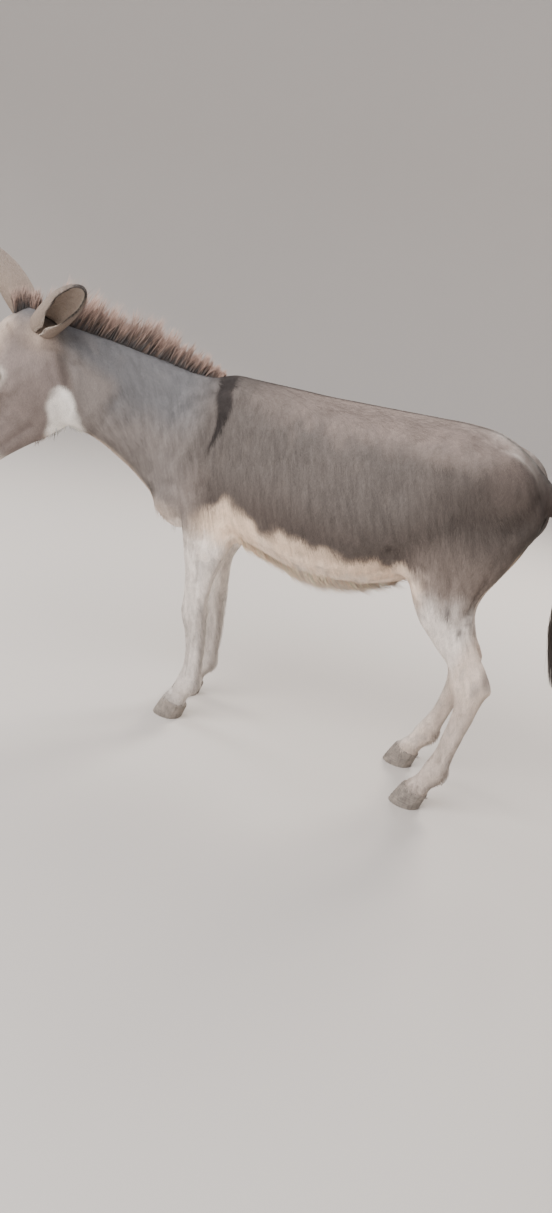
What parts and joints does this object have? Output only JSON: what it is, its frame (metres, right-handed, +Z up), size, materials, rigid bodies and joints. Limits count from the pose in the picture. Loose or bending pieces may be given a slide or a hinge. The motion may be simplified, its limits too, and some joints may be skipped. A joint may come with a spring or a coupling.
{
  "type": "donkey",
  "caption": "Life-size standing donkey with a short grey coat, pale belly and legs, upright mane and long ears, its neck turned a little to its left.",
  "frame": {"origin": "on the floor under the middle of the whole box", "axes": "+Z up, -X towards the nose, -Y towards the donkey's own left side"},
  "size_m": [1.9614, 0.615, 1.3331],
  "materials": {
    "coat": "short dull grey dun hair, cream below",
    "ear_coat": "short pale hair, dark at rim and tip",
    "mane_hair": "coarse dark brown hair",
    "tail_coat": "short dull grey hair",
    "tail_hair": "coarse dark hair",
    "hoof_horn": "dusty worn horn",
    "eye": "wet and dark"
  },
  "bodies": {
    "root": {"ear_left": "ear_coat", "ear_right": "ear_coat", "eye_left": "eye", "eye_right": "eye", "forelock": "mane_hair", "head": "coat", "hoof_front_left": "hoof_horn", "hoof_front_right": "hoof_horn", "hoof_hind_left": "hoof_horn", "hoof_hind_right": "hoof_horn", "leg_front_lower_left": "coat", "leg_front_lower_right": "coat", "leg_front_upper_left": "coat", "leg_front_upper_right": "coat", "leg_hind_lower_left": "coat", "leg_hind_lower_right": "coat", "leg_hind_upper_left": "coat", "leg_hind_upper_right": "coat", "mane": "mane_hair", "neck": "coat", "tail": "tail_coat", "tail_switch": "tail_hair", "trunk": "coat"}
  },
  "joints": []
}
